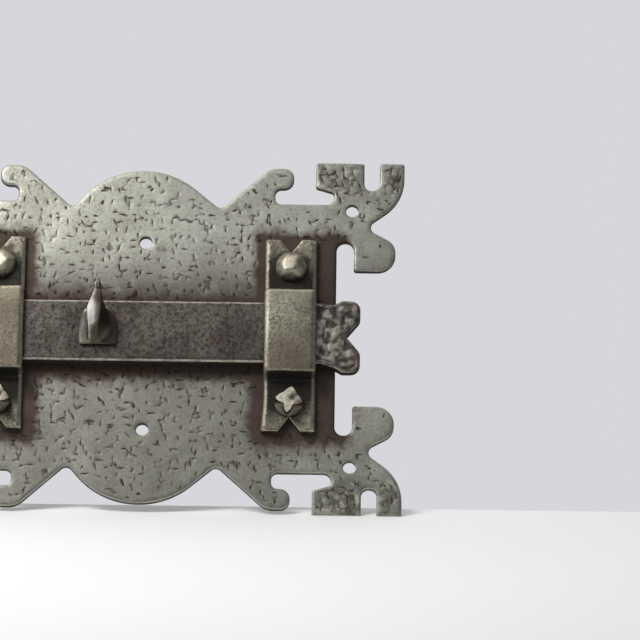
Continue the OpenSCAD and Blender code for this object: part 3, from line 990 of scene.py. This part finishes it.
class Nodes:
    """A short way to write the node tree of a material or a world."""

    def __init__(self, owner):
        owner.use_nodes = True
        self.tree = owner.node_tree
        self.coords = self.node("ShaderNodeTexCoord").outputs

    def node(self, kind, inputs=None, **settings):
        made = self.tree.nodes.new(kind)
        for key, value in settings.items():
            setattr(made, key, value)
        for key, value in (inputs or {}).items():
            self.join(value, made.inputs[key])
        return made

    def join(self, value, socket):
        if isinstance(value, bpy.types.NodeSocket):
            self.tree.links.new(value, socket)
        else:
            socket.default_value = value

    def noise(self, size, detail=3.0, rough=0.55, stretch=(1, 1, 1)):
        """Noise from 0 to 1 with features about size millimetres across."""
        where = self.coords["Object"]
        if stretch != (1, 1, 1):
            where = self.node("ShaderNodeMapping", {"Vector": where, "Scale": stretch}).outputs[0]
        return self.node("ShaderNodeTexNoise", {
            "Vector": where, "Scale": 1 / (size * MM), "Detail": detail, "Roughness": rough,
        }).outputs["Fac"]

    def painted(self, name):
        return self.node("ShaderNodeAttribute", attribute_name=name).outputs["Fac"]

    def plus(self, a, b):
        return self.node("ShaderNodeMath", {0: a, 1: b}, operation="ADD").outputs[0]

    def times(self, a, b):
        return self.node("ShaderNodeMath", {0: a, 1: b}, operation="MULTIPLY").outputs[0]

    def between(self, value, low, high, to_low=0.0, to_high=1.0):
        """The value mapped from one range to another, held at the ends."""
        return self.node("ShaderNodeMapRange", {
            "Value": value, "From Min": low, "From Max": high, "To Min": to_low, "To Max": to_high,
        }, interpolation_type="SMOOTHSTEP").outputs[0]

    def mix(self, factor, a, b):
        return self.node("ShaderNodeMix", {0: factor, 6: a, 7: b}, data_type="RGBA").outputs[2]

    def surface(self, **inputs):
        """Sets inputs of the material's own shader, with an underscore for each space."""
        for key, value in inputs.items():
            self.join(value, self.tree.nodes["Principled BSDF"].inputs[key.replace("_", " ")])


def iron(name, light, dark, pitted, worn, rough, grain_size, grain_depth, mottled,
         mottle_size=1.3, speckle=0.45, stain=(80, 68, 60), tarnish_shade_colour=(98, 95, 90)):
    """Forged iron, brushed and waxed: grey metal with dark scale in its pits, paler worn edges that
    also carry painted highlights, a duller skin and brown or black staining that also carry painted
    shade and shadow, and a little brown rust. Colours are screen values. speckle and mottled are how
    strongly the fine scale and the coarse scale show."""
    light, dark, pitted, worn, stain, tarnish_shade_colour = (
        srgb(*colour) for colour in (light, dark, pitted, worn, stain, tarnish_shade_colour)
    )
    material = bpy.data.materials.new(name)
    s = Nodes(material)
    grain = s.noise(grain_size, 3, 0.65)
    brushed = s.between(s.noise(0.5, 2, 0.5, stretch=(1, 1, 0.12)), 0.4, 0.7)
    mottle = s.between(s.noise(mottle_size, 3, 0.65), 0.46, 0.66)
    tint = s.noise(2.6, 3, 0.6)
    # The tarnish paint gives a duller skin and also painted shade.
    dull = s.times(s.painted("dull"), s.between(s.noise(7, 4, 0.6), 0.3, 0.6, 0.6, 1.1))
    specks = s.times(s.between(grain, 0.5, 0.66), speckle)
    blotches = s.between(s.noise(5, 4, 0.6), 0.6, 0.74)
    patchy = s.between(s.noise(1.7, 3, 0.6), 0.36, 0.6, 0.5, 0.95)
    # The edge paint gives worn edges and also painted highlights.
    wear_and_highlight = s.times(s.between(s.painted("edge"), 0.15, 0.95), patchy)
    uneven = s.times(s.noise(3, 4, 0.65), 0.7)
    # The staining paint gives brown or black stains and also painted shade and shadow.
    staining_and_shade = s.between(s.plus(s.painted("stain"), uneven), 0.45, 1.1)
    patchy = s.between(s.noise(4, 2), 0.35, 0.6, 0.6, 0.95)
    in_pit = s.times(s.between(s.painted("pit"), 0.22, 0.6), patchy)
    colour = dark
    for share, over in (
        (s.between(s.noise(14, 4), 0.35, 0.68), light),
        (s.times(brushed, 0.25), dark),
        (s.times(mottle, mottled), pitted),
        (s.times(s.between(tint, 0.55, 0.7), 0.5 * mottled), srgb(112, 90, 84)),
        (s.times(s.between(tint, 0.45, 0.3), 0.5 * mottled), srgb(98, 102, 86)),
        (dull, tarnish_shade_colour),
        (specks, pitted),
        (s.times(blotches, 0.6), srgb(104, 84, 68)),
        (wear_and_highlight, worn),
        (s.times(staining_and_shade, 0.95), stain),
        (in_pit, srgb(66, 58, 52)),
    ):
        colour = s.mix(share, colour, over)
    rough_here = s.between(s.noise(6, 4), 0.3, 0.7, rough - 0.07, rough + 0.08)
    for factor, more in ((specks, 0.2), (in_pit, 0.25), (staining_and_shade, 0.15), (wear_and_highlight, 0.06)):
        rough_here = s.plus(rough_here, s.times(factor, more))
    height = s.plus(grain, s.times(s.noise(0.35, 2, 0.6), 0.4))
    bump = s.node("ShaderNodeBump", {
        "Height": height, "Strength": 1.0, "Distance": grain_depth * MM,
    }).outputs[0]
    s.surface(Base_Color=colour, Roughness=rough_here, Metallic=1.0, Normal=bump)
    return material


def plate_iron():
    """Pale waxed sheet, with hardly any scale."""
    return iron("plate_iron", light=(181, 182, 172), dark=(161, 161, 152), pitted=(96, 88, 80),
                worn=(190, 188, 174), rough=0.48, grain_size=0.8, grain_depth=0.012,
                mottled=0.16, mottle_size=1.6, speckle=0.35)


def bar_iron():
    """Dark forge scale, bright only where it is worn."""
    return iron("bar_iron", light=(110, 106, 100), dark=(77, 73, 70), pitted=(42, 38, 35),
                worn=(190, 184, 172), rough=0.5, grain_size=0.7, grain_depth=0.05,
                mottled=0.65, speckle=0.6, stain=(40, 36, 33))


def strap_iron():
    """Warm grey with fine dark pits, and black scale and painted shade where its staining is painted.
    """
    return iron("strap_iron", light=(182, 179, 160), dark=(130, 126, 112), pitted=(62, 56, 50),
                worn=(184, 179, 160), rough=0.46, grain_size=0.55, grain_depth=0.05,
                mottled=0.6, mottle_size=1.0, speckle=0.65, stain=(46, 43, 41),
                tarnish_shade_colour=(114, 105, 92))


def rivet_iron():
    """Bright hammered heads with brown patches."""
    return iron("rivet_iron", light=(190, 184, 162), dark=(132, 128, 116), pitted=(84, 76, 66),
                worn=(212, 206, 186), rough=0.42, grain_size=1.1, grain_depth=0.03,
                mottled=0.8)


def knob_iron():
    """Smooth iron; its near-white worn colour is worn metal and a painted highlight where the thumb
    rubs it.
    """
    return iron("knob_iron", light=(176, 172, 160), dark=(134, 129, 117), pitted=(74, 66, 56),
                worn=(253, 252, 247), rough=0.27, grain_size=1.1, grain_depth=0.03,
                mottled=0.5, mottle_size=1.2, stain=(88, 81, 70), tarnish_shade_colour=(112, 107, 97))


# ------------ studio and camera

LEAN = radians(18.5)
CAMERA_DISTANCE = 2162 * MM
CAMERA_ANGLE = radians(5.253)
CAMERA_ROLL = radians(0.77)
AIM = Vector((54.4, -PLATE_T, 5.8)) * MM
FORWARD = Vector((0, cos(LEAN), sin(LEAN)))
FLOOR_TILT = LEAN + radians(7.5)


def build_camera():
    """A long lens a little below the plate's own horizon, as if the plate leaned back."""
    right = Vector((1, 0, 0))
    up = right.cross(FORWARD)
    turned_right = right * cos(CAMERA_ROLL) + up * sin(CAMERA_ROLL)
    turned_up = up * cos(CAMERA_ROLL) - right * sin(CAMERA_ROLL)
    data = bpy.data.cameras.new("camera")
    data.angle = CAMERA_ANGLE
    data.clip_start, data.clip_end = 0.1, 50
    camera = linked("camera", data)
    axes = Matrix((turned_right, turned_up, -FORWARD)).transposed()
    camera.matrix_world = Matrix.Translation(AIM - FORWARD * CAMERA_DISTANCE) @ axes.to_4x4()
    bpy.context.scene.camera = camera


def build_floor():
    """A pale card that the plate's lower heads stand on, leaning with it."""
    back, ahead, half_width = 16, 320, 420
    foot = Vector((0, -PLATE_T, PLATE_LOW.z))
    forward = Vector((0, -cos(FLOOR_TILT), -sin(FLOOR_TILT)))
    corners = [
        foot + forward * reach + Vector((side * half_width + 40, 0, 0))
        for side, reach in ((-1, -back), (1, -back), (1, ahead), (-1, ahead))
    ]
    mesh = bpy.data.meshes.new("floor")
    mesh.from_pydata([c * MM for c in corners], [], [(0, 3, 2, 1)])
    card = bpy.data.materials.new("floor_card")
    s = Nodes(card)
    s.surface(Base_Color=s.mix(s.noise(60, 2), srgb(250, 250, 250), srgb(253, 253, 254)),
              Roughness=0.9)
    mesh.materials.append(card)
    linked("floor", mesh)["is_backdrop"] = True


def build_key_light():
    """A square soft light at the upper left front that faces the middle of the plate."""
    data = bpy.data.lights.new("key", "AREA")
    data.shape, data.size, data.energy, data.color = "SQUARE", 0.17, 0.92, (1.0, 0.985, 0.95)
    light = linked("key", data)
    light.location = (-0.17, -0.28, 0.21)
    light.visible_camera = False
    to_plate = Vector((0.03, 0, 0)) - light.location
    light.rotation_euler = to_plate.to_track_quat("-Z", "Y").to_euler()


def build_world():
    """A dim room with pale light from the upper left, from above and from behind the plate, and
    a weaker one at the lower right. Each is a patch of colour round one direction."""
    world = bpy.data.worlds.new("studio")
    bpy.context.scene.world = world
    s = Nodes(world)
    patches = [((0.75, -0.6, 0.2), 0.5, 0.98, srgb(112, 113, 118)),
               ((-0.75, -0.25, 0.62), -0.15, 0.95, srgb(206, 208, 210)),
               ((0, 0.1, 1), 0.55, 0.98, srgb(250, 250, 251)),
               (FORWARD, 0.45, 0.92, srgb(214, 214, 219))]
    colour = srgb(48, 48, 52)
    for direction, low, high, brighter in patches:
        towards = s.node("ShaderNodeVectorMath", {
            0: s.coords["Generated"], 1: Vector(direction).normalized(),
        }, operation="DOT_PRODUCT").outputs["Value"]
        colour = s.mix(s.between(towards, low, high), colour, brighter)
    s.join(colour, s.tree.nodes["Background"].inputs["Color"])


bpy.context.scene.view_settings.view_transform = "Standard"
build_camera()
build_world()
build_floor()
build_key_light()
build_backplate(plate_iron())
build_slide_bar(bar_iron())
build_thumb_knob(knob_iron())
strap_material, rivet_material = strap_iron(), rivet_iron()
for strap, tarnish in (("left_strap", 0.9), ("right_strap", 0.1)):
    build_strap(strap, strap_material, tarnish)
for seed, rivet in enumerate(("upper_left", "lower_left", "upper_right", "lower_right")):
    build_rivet(f"rivet_{rivet}", rivet_material, seed + 5)

boxes = {"cad": cad_box, "visual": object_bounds()}
{name: [list(corner) for corner in box] for name, box in boxes.items()}
